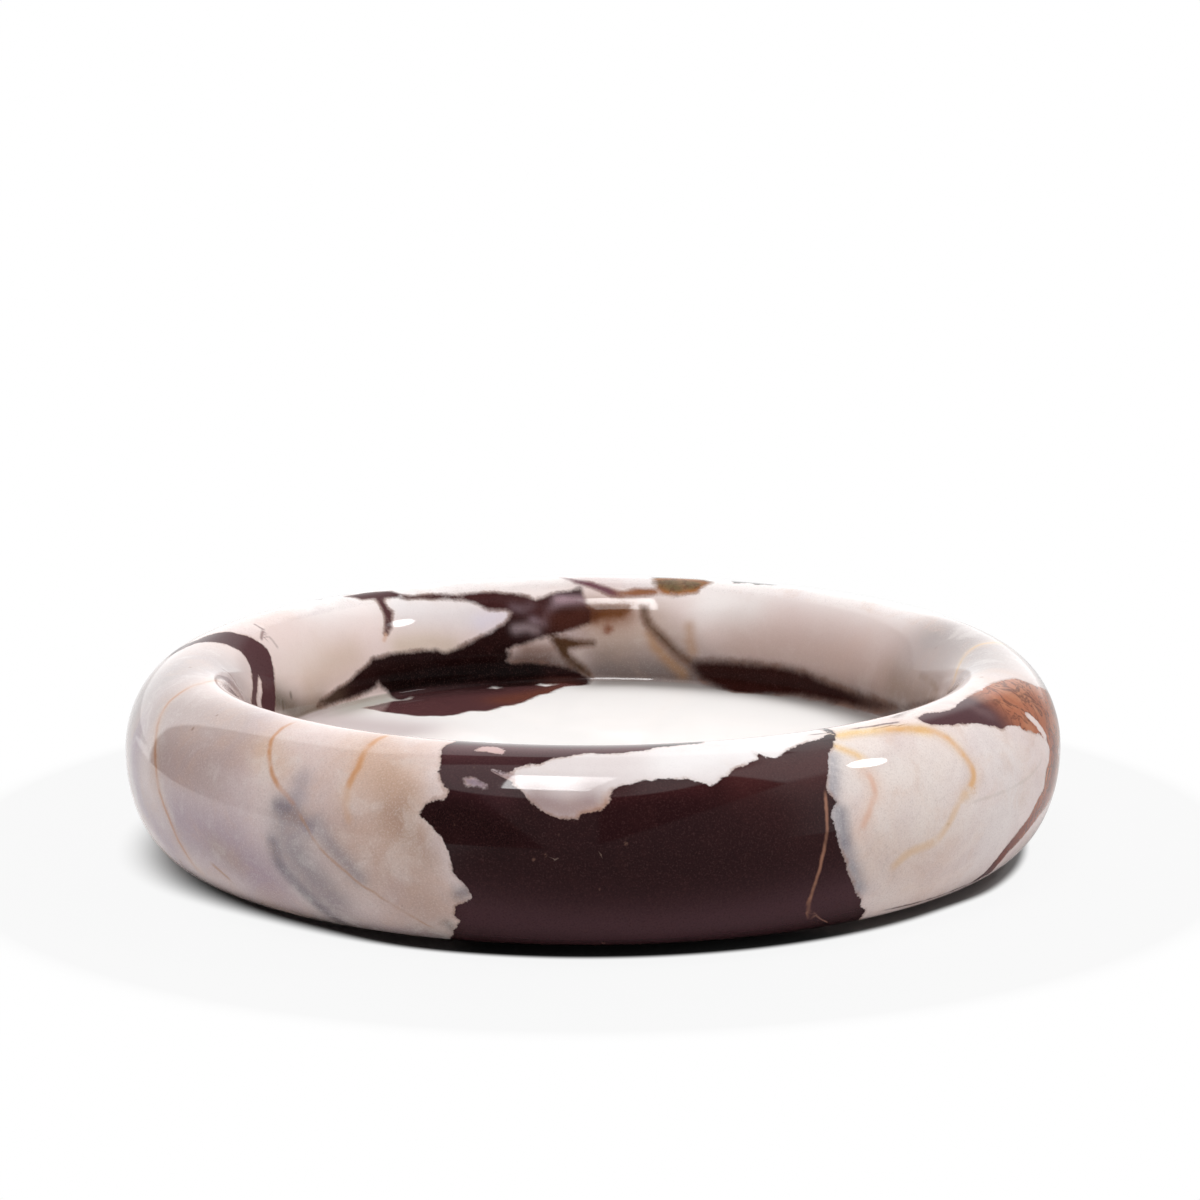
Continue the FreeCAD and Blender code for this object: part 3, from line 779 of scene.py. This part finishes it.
class Nodes:
    """Adds shader nodes to a tree and joins them."""

    def __init__(self, tree):
        self.tree = tree
        tree.nodes.clear()

    def add(self, kind, inputs=None, **settings):
        """New node with its settings made and its inputs filled."""
        node = self.tree.nodes.new(kind)
        for name, value in settings.items():
            setattr(node, name, value)
        for name, value in (inputs or {}).items():
            self.put(node.inputs[name], value)
        return node

    def put(self, socket, value):
        """Joins a socket to another one, or gives it a plain value."""
        if isinstance(value, bpy.types.NodeSocket):
            self.tree.links.new(value, socket)
        else:
            socket.default_value = value

    def math(self, operation, first, second=0.0):
        node = self.add("ShaderNodeMath", {0: first, 1: second}, operation=operation)
        return node.outputs[0]

    def times(self, first, *others):
        """Product of two values or more."""
        for other in others:
            first = self.math("MULTIPLY", first, other)
        return first

    def fade(self, value, low, high, start=0.0, end=1.0):
        """Smooth change from start to end while a value goes from low to high."""
        limits = {"Value": value, "From Min": low, "From Max": high, "To Min": start, "To Max": end}
        return self.add("ShaderNodeMapRange", limits, interpolation_type="SMOOTHSTEP").outputs[0]

    def between(self, value, opening, closing):
        """Share that lies past a fading edge and before another one."""
        return self.times(self.fade(value, *opening), self.fade(value, *closing))

    def mix(self, share, first, second):
        """Colour between two colours. A plain number stands for a grey."""
        node = self.add("ShaderNodeMix", {MIX_SHARE: share}, data_type="RGBA")
        for index, value in ((MIX_FIRST, first), (MIX_SECOND, second)):
            if isinstance(value, float):
                value = (value,) * 3
            if isinstance(value, tuple):
                value = (*value, 1.0)
            self.put(node.inputs[index], value)
        return node.outputs[MIX_RESULT]

    def noise(self, place, scale, detail=3.0, roughness=0.55, distortion=0.0):
        inputs = {"Vector": place, "Scale": scale, "Detail": detail, "Roughness": roughness}
        return self.add("ShaderNodeTexNoise", {**inputs, "Distortion": distortion}).outputs[0]

    def spots(self, place, scale, edge, middle):
        """Round spots, one to a cell of the stone, that fade in from their edge to their middle."""
        cells = self.add("ShaderNodeTexVoronoi", {"Vector": place, "Scale": scale})
        return self.fade(cells.outputs["Distance"], edge, middle)

    def swing(self, noise, size):
        """Noise that swings to both sides of zero."""
        return self.times(self.math("SUBTRACT", noise, 0.5), size)

    def attribute(self, name, output="Fac"):
        return self.add("ShaderNodeAttribute", attribute_name=name).outputs[output]

    def vector(self, operation, first, second=(0.0, 0.0, 0.0), output="Value"):
        return self.add("ShaderNodeVectorMath", {0: first, 1: second}, operation=operation).outputs[output]

    def turn(self, place):
        """Degrees round from the front to a place or a direction."""
        split = self.add("ShaderNodeSeparateXYZ", {0: place})
        front = self.times(split.outputs["Y"], -1.0)
        return self.times(self.math("ARCTAN2", split.outputs["X"], front), math.degrees(1))

    def close(self, shader, kind="Material"):
        """Joins the finished shader to the tree's output."""
        self.add("ShaderNodeOutput" + kind, {"Surface": shader.outputs[0]})


def new_material(name):
    """New material, its nodes, and the place of each point in metres."""
    material = bpy.data.materials.new(name)
    material.use_nodes = True
    nodes = Nodes(material.node_tree)
    return material, nodes, nodes.add("ShaderNodeTexCoord").outputs["Object"]


def stone_material(finish):
    """Polished stone with dark patches, veins and soft tints read from its points."""
    material, nodes, place = new_material("polished_stone")
    mottle = nodes.attribute("mottle")

    wander = nodes.swing(nodes.noise(place, 620, detail=4, roughness=0.62), nodes.attribute("edge_ragged"))
    crumble = nodes.swing(nodes.noise(place, 3200, detail=2), 0.34)
    edge = nodes.math("ADD", nodes.math("ADD", nodes.attribute("dark_depth"), wander), crumble)
    dark_share = nodes.fade(nodes.math("DIVIDE", edge, nodes.attribute("edge_softness")), -1.0, 1.0)

    broad = nodes.noise(place, 60, detail=4, roughness=0.6, distortion=0.8)
    drift = nodes.noise(place, 210, detail=5, roughness=0.62, distortion=0.5)
    crystal = nodes.noise(place, 900, detail=4, roughness=0.7)
    grain = nodes.noise(place, 5200, detail=2, roughness=0.6)
    ridge_noise = nodes.noise(place, 260, detail=5, roughness=0.6, distortion=1.2)
    ridge = nodes.math("ABSOLUTE", nodes.math("SUBTRACT", ridge_noise, 0.5))

    def tinted(colour, tints, allowed=1.0):
        """Each tint comes in while its pattern goes from the first value to the second, up to its share."""
        for pattern, first, second, share, levels in tints:
            amount = nodes.times(nodes.fade(pattern, first, second, 0.0, share), allowed)
            colour = nodes.mix(amount, colour, shade(levels))
        return colour

    ground_tints = (
        (broad, 0.42, 0.68, 0.30, LILAC),
        (drift, 0.48, 0.72, 0.30, TAN),
        (drift, 0.50, 0.30, 0.30, (240, 232, 228)),
        (crystal, 0.50, 0.72, 0.10, (168, 150, 146)),
        (grain, 0.50, 0.75, 0.20, (140, 126, 126)),
        (grain, 0.50, 0.28, 0.20, (250, 246, 244)),
    )
    ground = tinted(nodes.attribute("ground_colour", "Color"), ground_tints, mottle)
    fringe = nodes.times(nodes.fade(edge, -0.45, -0.05), nodes.fade(drift, 0.4, 0.6, 0.1, 0.6))
    ground = nodes.mix(fringe, ground, shade((160, 124, 108)))
    rust = nodes.times(nodes.spots(place, 300.0, 0.11, 0.05), nodes.fade(drift, 0.56, 0.6), mottle, 0.5)
    ground = nodes.mix(rust, ground, shade((136, 100, 78)))

    dark_tints = (
        (drift, 0.50, 0.75, 0.10, RED_BROWN),
        (crystal, 0.50, 0.75, 0.16, RED_BROWN),
        (grain, 0.50, 0.75, 0.26, (94, 65, 62)),
        (grain, 0.50, 0.25, 0.34, (26, 12, 12)),
    )
    marbling = (
        (drift, 0.45, 0.65, 0.50, (198, 138, 104)),
        (ridge, 0.05, 0.0, 0.75, (92, 52, 42)),
    )
    dark = tinted(nodes.attribute("dark_colour", "Color"), dark_tints)
    speck = nodes.times(nodes.spots(place, 420.0, 0.14, 0.04), nodes.fade(drift, 0.55, 0.62), 0.4)
    dark = nodes.mix(speck, dark, shade((150, 112, 96)))
    dark = tinted(dark, marbling, nodes.attribute("marbled"))
    colour = nodes.mix(dark_share, ground, dark)

    waver = nodes.swing(nodes.noise(place, 900), 0.3)
    offset = nodes.math("ABSOLUTE", nodes.math("ADD", nodes.attribute("vein_offset"), waver))
    thin = nodes.fade(nodes.math("DIVIDE", offset, nodes.attribute("vein_half_width")), 1.6, 0.1)
    close = nodes.fade(nodes.attribute("vein_reach"), 0.95, 0.6)
    broken = nodes.fade(nodes.noise(place, 330), 0.3, 0.55, 0.4, 1.0)
    vein = nodes.times(thin, close, broken, nodes.attribute("vein_strength"))
    colour = nodes.mix(vein, colour, nodes.attribute("vein_colour", "Color"))

    gloss = nodes.times(nodes.attribute("polish"), finish.gloss)
    look = {"Base Color": colour, "Roughness": finish.roughness, "Specular IOR Level": gloss}
    nodes.close(nodes.add("ShaderNodeBsdfPrincipled", look))
    return material


def scaled(colour, share):
    """A colour made lighter or darker."""
    return tuple(min(1.0, share * channel) for channel in colour)


def felt_material(colour):
    """Dark felt with a fuzzy surface of matted fibres."""
    material, nodes, place = new_material("felt")
    matted = nodes.noise(place, 1500, detail=4, roughness=0.7, distortion=2.5)
    fibres = nodes.noise(place, 6000, detail=3, roughness=0.7, distortion=1.5)
    tone = nodes.mix(nodes.fade(matted, 0.3, 0.75), scaled(colour, 0.55), scaled(colour, 1.6))
    tone = nodes.mix(nodes.fade(fibres, 0.55, 0.8, 0.0, 0.4), tone, scaled(colour, 3.0))
    bump = nodes.add("ShaderNodeBump", {"Height": fibres, "Strength": 0.6, "Distance": 0.0002})
    look = {"Base Color": tone, "Normal": bump.outputs[0], "Roughness": 0.95}
    look |= {"Specular IOR Level": 0.1, "Sheen Weight": 0.3}
    nodes.close(nodes.add("ShaderNodeBsdfPrincipled", look))
    return material


def adhesive_material(colour):
    """Pale adhesive film, a little cloudy."""
    material, nodes, place = new_material("adhesive_film")
    cloudy = nodes.noise(place, 900, detail=4, roughness=0.6, distortion=0.8)
    tone = nodes.mix(nodes.fade(cloudy, 0.3, 0.75), scaled(colour, 0.8), tuple(colour))
    rough = nodes.fade(cloudy, 0.3, 0.8, 0.35, 0.55)
    look = {"Base Color": tone, "Roughness": rough, "Specular IOR Level": 0.4}
    nodes.close(nodes.add("ShaderNodeBsdfPrincipled", look))
    return material


def turned_mesh(name, rings, turns):
    """Mesh of rings turned about the upright axis, closed at both ends by a point on it. Sizes in mm."""
    angles = np.linspace(-math.pi, math.pi, turns, endpoint=False)
    radii, heights = rings[:, 0:1], rings[:, 1:2]
    levels = np.broadcast_to(heights, (len(rings), turns))
    rows = np.stack([radii * np.sin(angles), -radii * np.cos(angles), levels], -1)
    ends = np.array([[0, 0, rings[0, 1]], [0, 0, rings[-1, 1]]])
    points = np.vstack([rows.reshape(-1, 3), ends]) * MM
    here = np.arange(turns)
    after = (here + 1) % turns
    faces = []
    for row in range(len(rings) - 1):
        base, above = row * turns, (row + 1) * turns
        faces += np.column_stack([base + here, above + here, above + after, base + after]).tolist()
    first, last = len(points) - 2, len(points) - 1
    faces += np.column_stack([np.full(turns, first), here, after]).tolist()
    edge = (len(rings) - 1) * turns
    faces += np.column_stack([np.full(turns, last), edge + after, edge + here]).tolist()
    mesh = bpy.data.meshes.new(name)
    mesh.from_pydata(points.tolist(), [], faces)
    mesh.polygons.foreach_set("use_smooth", np.ones(len(mesh.polygons), bool))
    mesh.update()
    return mesh


def add_object(name, data):
    """New object in the scene."""
    piece = bpy.data.objects.new(name, data)
    bpy.context.scene.collection.objects.link(piece)
    return piece


class RingDishSizes(bpy.types.PropertyGroup):
    outer_radius: FloatProperty(
        name="Outer radius",
        description="Half the width of the dish",
        default=(stone_high.x - stone_low.x) / 2,
        unit="LENGTH",
    )
    underside_height: FloatProperty(
        name="Underside height",
        description="Height of the stone's flat underside above the table",
        default=stone_low.z,
        unit="LENGTH",
    )
    crest_height: FloatProperty(
        name="Crest height",
        description="Height of the rim's highest ring",
        default=stone_high.z,
        unit="LENGTH",
    )
    widest_height: FloatProperty(
        name="Widest height", description="Height of the widest ring", default=0.0126, unit="LENGTH"
    )
    floor_height: FloatProperty(
        name="Floor height", description="Height of the dish floor", default=0.0103, unit="LENGTH"
    )
    rim_width: FloatProperty(
        name="Rim width",
        description="From the outer edge in to the foot of the wall",
        default=0.01485,
        unit="LENGTH",
    )
    crest_inset: FloatProperty(
        name="Crest inset",
        description="From the outer edge in to the highest ring",
        default=0.008,
        unit="LENGTH",
    )
    underside_inset: FloatProperty(
        name="Underside inset",
        description="From the outer edge in to the flat underside",
        default=0.0064,
        unit="LENGTH",
    )
    floor_fillet: FloatProperty(
        name="Floor fillet",
        description="Radius where the wall runs into the floor",
        default=0.0012,
        unit="LENGTH",
    )
    turns: IntProperty(name="Turns", description="Points round each ring of the stone", default=512)


class RingDishFinish(bpy.types.PropertyGroup):
    roughness: FloatProperty(name="Roughness", description="Roughness of the polished stone", default=0.045)
    gloss: FloatProperty(name="Gloss", description="Specular level of the polished stone", default=0.36)
    felt_colour: FloatVectorProperty(
        name="Felt", description="Colour of the felt pads", default=(0.03, 0.027, 0.027), subtype="COLOR"
    )
    adhesive_colour: FloatVectorProperty(
        name="Adhesive",
        description="Colour of the adhesive film",
        default=(0.78, 0.74, 0.62),
        subtype="COLOR",
    )


class RingDishView(bpy.types.PropertyGroup):
    location: FloatVectorProperty(
        name="Camera",
        description="Place of the camera",
        default=(0, -0.43251, 0.11564),
        subtype="TRANSLATION",
    )
    pitch: FloatProperty(
        name="Pitch", description="Downward tilt", default=math.radians(11.3181), subtype="ANGLE"
    )
    yaw: FloatProperty(
        name="Yaw", description="Turn to the right", default=math.radians(0.1185), subtype="ANGLE"
    )
    roll: FloatProperty(
        name="Roll", description="Roll of the camera", default=math.radians(-0.2185), subtype="ANGLE"
    )
    lens: FloatProperty(name="Lens", description="Focal length in millimetres", default=112.5)
    sensor: FloatProperty(name="Sensor", description="Sensor width in millimetres", default=36.0)
    panel_strength: FloatProperty(
        name="Panel", description="Power of the overhead panel in watts", default=2.8
    )
    lamp_strength: FloatProperty(name="Lamp", description="Power of the side lamp in watts", default=0.24)
    room_strength: FloatProperty(name="Room", description="Brightness of the room in front", default=0.17)
    ceiling_strength: FloatProperty(name="Ceiling", description="Brightness of the ceiling", default=0.25)
    floor_bounce: FloatProperty(
        name="Bounce", description="Share of light the floor gives back to the dish", default=0.85
    )


class RingDishSettings(bpy.types.PropertyGroup):
    sizes: PointerProperty(type=RingDishSizes)
    finish: PointerProperty(type=RingDishFinish)
    view: PointerProperty(type=RingDishView)


class RINGDISH_OT_stone(bpy.types.Operator):
    """Build the stone dish and mark its pattern"""

    bl_idname = "ringdish.stone"
    bl_label = "Stone dish"

    def execute(self, context):
        settings = context.scene.ring_dish
        rings = prepare_section(settings.sizes)
        mesh = turned_mesh("stone_body", rings, settings.sizes.turns)
        plan = StonePlan(mesh, rings, settings.sizes.turns, settings.view)
        mark_stone(mesh, plan)
        mesh.materials.append(stone_material(settings.finish))
        stone = add_object("stone_body", mesh)
        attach(stone, "root")
        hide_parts("stone_dish")
        return {"FINISHED"}


# Felt pads
PAD_ROUNDING = 0.25  # mm, radius of the upper and lower edges
PAD_INNER_RING = 1.0  # mm from a pad's middle to its first ring
PAD_FACE_RINGS = 8
PAD_EDGE_RINGS = 6
PAD_TURNS = 72


def pad_section(radius, height):
    """Radius and height in mm of each ring of a pad, from its top's middle to its foot's middle."""
    inner = radius - PAD_ROUNDING
    arc = np.linspace(0, math.pi / 2, PAD_EDGE_RINGS)
    across = np.linspace(PAD_INNER_RING, inner, PAD_FACE_RINGS + 1)[:-1]
    back_across = np.linspace(inner, PAD_INNER_RING, PAD_FACE_RINGS + 1)[1:]
    outward, downward = PAD_ROUNDING * np.sin(arc), PAD_ROUNDING * np.cos(arc)
    lower = np.column_stack([inner + outward, PAD_ROUNDING - downward])
    upper = np.column_stack([inner + downward, height - PAD_ROUNDING + outward])
    top = np.column_stack([across, np.full(PAD_FACE_RINGS, height)])
    foot = np.column_stack([back_across, np.zeros(PAD_FACE_RINGS)])
    return np.vstack([top, upper[::-1], lower[::-1], foot])


class RINGDISH_OT_pads(bpy.types.Operator):
    """Build the felt pads under the dish"""

    bl_idname = "ringdish.pads"
    bl_label = "Felt pads"

    def execute(self, context):
        felt = felt_material(context.scene.ring_dish.finish.felt_colour)
        for place in PLACES:
            low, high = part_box("felt_pad_" + place)
            rings = pad_section((high.x - low.x) / 2 / MM, (high.z - low.z) / MM)
            mesh = turned_mesh("felt_" + place, rings, PAD_TURNS)
            middle = (low + high) / 2
            mesh.transform(Matrix.Translation((middle.x, middle.y, low.z)))
            mesh.materials.append(felt)
            pad = add_object("felt_" + place, mesh)
            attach(pad, "root")
            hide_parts("felt_pad_" + place)
        return {"FINISHED"}


class RINGDISH_OT_adhesive(bpy.types.Operator):
    """Give the adhesive discs their film"""

    bl_idname = "ringdish.adhesive"
    bl_label = "Adhesive discs"

    def execute(self, context):
        film = adhesive_material(context.scene.ring_dish.finish.adhesive_colour)
        for place in PLACES:
            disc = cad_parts["adhesive_disc_" + place]
            for slot in disc.material_slots:
                slot.material = film
        return {"FINISHED"}


# Studio floor: degrees from the front and metres from the shadow's middle. A pair begins and ends a fade.
SHADOW_MIDDLE = (0.002, 0.0015, 0.0)
# painted shadow: the board is shown this dark to the camera, which deepens the dish's shadow next to it
CAMERA_SHADOW_TONE = 0.3  # grey of the board to the camera
MIRROR_TONE = 0.14  # least grey of the board in the polish
MIRROR_LEFT = (-15, -48, 0.0, 0.78)  # turns between which the mirrored board gets lighter, and by how much
MIRROR_RIGHT = (45, 90, 0.0, 0.45)
RIGHT_SIDE = ((48, 68), (160, 110))  # turns between which the shadow ends later
LEFT_SIDE = ((-30, -90), (-165, -115))  # turns between which it runs out more slowly
LEFT_FRONT = ((-15, -45), (-165, -115))  # turns between which it begins to run out sooner
SHADOW_START, SHADOW_START_LEFT, SHADOW_START_RIGHT = 0.0495, 0.048, 0.0505
SHADOW_END, SHADOW_END_LEFT, SHADOW_END_RIGHT = 0.0512, 0.057, 0.052
SHADOW_FADE = 0.92  # share of the shadow that has gone at its end
LAST_FADE = (0.054, 0.08)  # distances over which the rest goes
BEHIND_LEFT = (-110, -140)  # turns past which the board lies behind the dish
BEHIND_RIGHT = (145, 160)
BEHIND_FADE = (0.06, 0.1)  # distances over which the board behind turns white in the polish

# Studio floor: outline, in metres and degrees
BOARD_RADIUS = 0.19
BOARD_TURNS = (-134, 90)  # the front edge is an arc between these turns
BOARD_POINTS = 129
BOARD_BACK_CORNERS = [(1.2, 1.0, 0), (-1.04, 1.0, 0)]
BOARD_PLACE = (-0.002, 0, 0)


def floor_material(bounce):
    """White board that keeps the dish's shadow, darkened there as painted shadow, and fades to white. In the
    polish its front has painted shade and its sides painted light.
    """
    material, nodes, place = new_material("studio_floor")
    away = nodes.vector("LENGTH", nodes.vector("SUBTRACT", place, SHADOW_MIDDLE, output="Vector"))
    turn = nodes.turn(place)
    path = nodes.add("ShaderNodeLightPath")
    seen, mirrored = path.outputs["Is Camera Ray"], path.outputs["Is Glossy Ray"]

    # painted shade and light: the board in the polish is darker in front and lighter to the sides
    lighter = nodes.math("MAXIMUM", nodes.fade(turn, *MIRROR_LEFT), nodes.fade(turn, *MIRROR_RIGHT))
    tone = nodes.mix(mirrored, bounce, nodes.math("ADD", lighter, MIRROR_TONE))
    tone = nodes.mix(seen, tone, CAMERA_SHADOW_TONE)

    right_side = nodes.between(turn, *RIGHT_SIDE)
    left_side = nodes.between(turn, *LEFT_SIDE)
    left_front = nodes.between(turn, *LEFT_FRONT)
    start = nodes.fade(left_front, 0, 1, SHADOW_START, SHADOW_START_LEFT)
    start = nodes.fade(right_side, 0, 1, start, SHADOW_START_RIGHT)
    end = nodes.fade(right_side, 0, 1, SHADOW_END, SHADOW_END_RIGHT)
    end = nodes.fade(left_side, 0, 1, end, SHADOW_END_LEFT)
    near = nodes.fade(away, start, end, 0.0, SHADOW_FADE)
    fading = nodes.times(seen, nodes.math("MAXIMUM", near, nodes.fade(away, *LAST_FADE)))
    behind = nodes.math("MAXIMUM", nodes.fade(turn, *BEHIND_LEFT), nodes.fade(turn, *BEHIND_RIGHT))
    behind = nodes.times(behind, nodes.fade(away, *BEHIND_FADE), mirrored)
    white_share = nodes.math("MAXIMUM", fading, behind)

    lit = nodes.add("ShaderNodeBsdfDiffuse", {"Color": tone}).outputs[0]
    white = nodes.add("ShaderNodeEmission", {"Color": (1.0, 1.0, 1.0, 1.0)}).outputs[0]
    nodes.close(nodes.add("ShaderNodeMixShader", {0: white_share, 1: lit, 2: white}))
    return material


# Room in the polish: degrees from the front and up, and brightness. A pair begins and ends a fade.
OPENING_BLUR = (-0.012, 0.012)  # sines of the angles to each side of an opening's edge
LEFT_OPENING_EDGE = ((-13, 0), (-49.7, 60))  # turn and rise of two points on its straight edge
LEFT_OPENING_END = (-135.5, -133)
RIGHT_OPENING_EDGE = ((10.4, 9.5), (45, 39.5))
RIGHT_OPENING_SIDES = ((0.5, 2), (61, 57))
OPENING_LEVEL = 0.04
LEFT_OPENING_TOP = (66, 72)
RIGHT_OPENING_TOP = (61, 64)
RIGHT_WALL = (42, 60)
RIGHT_WALL_LEVEL = 0.56
RIGHT_WALL_TOP = (44, 50)
UPPER_RIGHT = (46, 62)
UPPER_RIGHT_LEVEL = 1.3
CEILING_START = (66, 72)
BACKDROP = (133, 135.5)
BACKDROP_TOP = (59.5, 61.5)
BACKDROP_LEVEL = 1.5
DIM_SIDES = ((90, 98), (162, 150))
DIM_TOP = (49, 46)
DIM_LEVEL = 0.39
OVERHEAD_MIDDLE = (-18, 72)  # turn and rise of the middle of a bright round overhead
OVERHEAD_EDGE = (0.891, 0.906)  # cosines of its outer and inner edge
OVERHEAD_LEVEL = 1.1


def heading_to(turn, rise):
    """Direction from the dish, in degrees round from the front and up from the table."""
    turn, rise = math.radians(turn), math.radians(rise)
    return Vector((math.cos(rise) * math.sin(turn), -math.cos(rise) * math.cos(turn), math.sin(rise)))


def room_world(strength, ceiling):
    """White to the camera, and to everything else a room with a pale backdrop and two dark openings."""
    world = bpy.data.worlds.new("studio_room")
    world.use_nodes = True
    nodes = Nodes(world.node_tree)
    heading = nodes.add("ShaderNodeTexCoord").outputs["Generated"]
    turn = nodes.turn(heading)
    upward = nodes.vector("DOT_PRODUCT", heading, (0.0, 0.0, 1.0))
    rise = nodes.times(nodes.math("ARCSINE", upward), math.degrees(1))

    def past(first, second):
        """Share that lies to the left of the straight edge through two directions."""
        normal = heading_to(*first).cross(heading_to(*second)).normalized()
        return nodes.fade(nodes.vector("DOT_PRODUCT", heading, normal), *OPENING_BLUR)

    left = nodes.times(past(*LEFT_OPENING_EDGE), nodes.fade(turn, *LEFT_OPENING_END))
    right = nodes.times(past(*RIGHT_OPENING_EDGE), nodes.between(turn, *RIGHT_OPENING_SIDES))
    backdrop = nodes.fade(nodes.math("ABSOLUTE", turn), *BACKDROP)
    dim = nodes.times(nodes.between(turn, *DIM_SIDES), nodes.fade(rise, *DIM_TOP))
    overhead = nodes.fade(nodes.vector("DOT_PRODUCT", heading, heading_to(*OVERHEAD_MIDDLE)), *OVERHEAD_EDGE)

    level = nodes.fade(turn, *RIGHT_WALL, strength, RIGHT_WALL_LEVEL)
    upper_right = nodes.fade(turn, *UPPER_RIGHT, strength, UPPER_RIGHT_LEVEL)
    level = nodes.mix(nodes.fade(rise, *RIGHT_WALL_TOP), level, upper_right)
    level = nodes.mix(nodes.fade(rise, *CEILING_START), level, ceiling)
    level = nodes.mix(left, level, nodes.fade(rise, *LEFT_OPENING_TOP, OPENING_LEVEL, ceiling))
    level = nodes.mix(right, level, nodes.fade(rise, *RIGHT_OPENING_TOP, OPENING_LEVEL, ceiling))
    level = nodes.mix(backdrop, level, nodes.fade(rise, *BACKDROP_TOP, BACKDROP_LEVEL, ceiling))
    level = nodes.mix(dim, level, DIM_LEVEL)
    level = nodes.mix(overhead, level, OVERHEAD_LEVEL)

    seen = nodes.add("ShaderNodeLightPath").outputs["Is Camera Ray"]
    nodes.close(nodes.add("ShaderNodeBackground", {"Color": nodes.mix(seen, level, 1.0)}), "World")
    return world


# Lamps and camera, in metres
LAMP_AIM = (0, 0, 0.015)
PANEL_PLACE = (-0.09, -0.327, 0.722)
PANEL_SIZE = (0.23, 0.28)
SIDE_LAMP_PLACE = (0.293, -0.032, 0.285)
SIDE_LAMP_SIZE = (0.063, 0.057)
NEAREST_SEEN = 0.01  # from the camera


def add_lamp(name, shape, place, size, power):
    """Flat lamp that faces the dish."""
    lamp = bpy.data.lights.new(name, "AREA")
    lamp.shape = shape
    lamp.size, lamp.size_y = size
    lamp.energy = power
    holder = add_object(name, lamp)
    holder.location = place
    holder.rotation_euler = (Vector(LAMP_AIM) - Vector(place)).to_track_quat("-Z", "Y").to_euler()


class RINGDISH_OT_stage(bpy.types.Operator):
    """Set up the floor, the light and the camera"""

    bl_idname = "ringdish.stage"
    bl_label = "Studio"

    def execute(self, context):
        view = context.scene.ring_dish.view
        mesh = bpy.data.meshes.new("studio_floor")
        bend = np.radians(np.linspace(*BOARD_TURNS, BOARD_POINTS))
        corners = [(BOARD_RADIUS * math.sin(angle), -BOARD_RADIUS * math.cos(angle), 0) for angle in bend]
        corners += BOARD_BACK_CORNERS
        mesh.from_pydata(corners, [], [range(len(corners))])
        mesh.materials.append(floor_material(view.floor_bounce))
        floor = add_object("studio_floor", mesh)
        floor.location = BOARD_PLACE
        context.scene.world = room_world(view.room_strength, view.ceiling_strength)
        add_lamp("overhead_panel", "RECTANGLE", PANEL_PLACE, PANEL_SIZE, view.panel_strength)
        add_lamp("side_lamp", "ELLIPSE", SIDE_LAMP_PLACE, SIDE_LAMP_SIZE, view.lamp_strength)

        camera = bpy.data.cameras.new("photo_camera")
        camera.lens = view.lens
        camera.sensor_width = view.sensor
        camera.clip_start = NEAREST_SEEN
        right, up, forward = camera_axes(view)
        holder = add_object("photo_camera", camera)
        turned = Matrix((right, up, -forward)).transposed()
        holder.matrix_world = Matrix.Translation(view.location) @ turned.to_4x4()
        context.scene.camera = holder
        context.scene.view_settings.view_transform = "Standard"
        return {"FINISHED"}


class RINGDISH_PT_panel(bpy.types.Panel):
    """Ring dish"""

    bl_idname = "RINGDISH_PT_panel"
    bl_label = "Ring Dish"
    bl_space_type = "VIEW_3D"
    bl_region_type = "UI"
    bl_category = "Ring Dish"

    def draw(self, context):
        settings = context.scene.ring_dish
        for group in (settings.sizes, settings.finish, settings.view):
            box = self.layout.box()
            for name in group.__annotations__:
                box.prop(group, name)
        for operator in operators:
            self.layout.operator(operator.bl_idname)


operators = (RINGDISH_OT_stone, RINGDISH_OT_pads, RINGDISH_OT_adhesive, RINGDISH_OT_stage)
groups = (RingDishSizes, RingDishFinish, RingDishView, RingDishSettings)
classes = groups + operators + (RINGDISH_PT_panel,)


def register():
    for item in classes:
        bpy.utils.register_class(item)
    bpy.types.Scene.ring_dish = PointerProperty(type=RingDishSettings)


def unregister():
    del bpy.types.Scene.ring_dish
    for item in reversed(classes):
        bpy.utils.unregister_class(item)


def main():
    register()
    bpy.ops.ringdish.stone()
    bpy.ops.ringdish.pads()
    bpy.ops.ringdish.adhesive()
    bpy.ops.ringdish.stage()


if __name__ == "__main__":
    main()
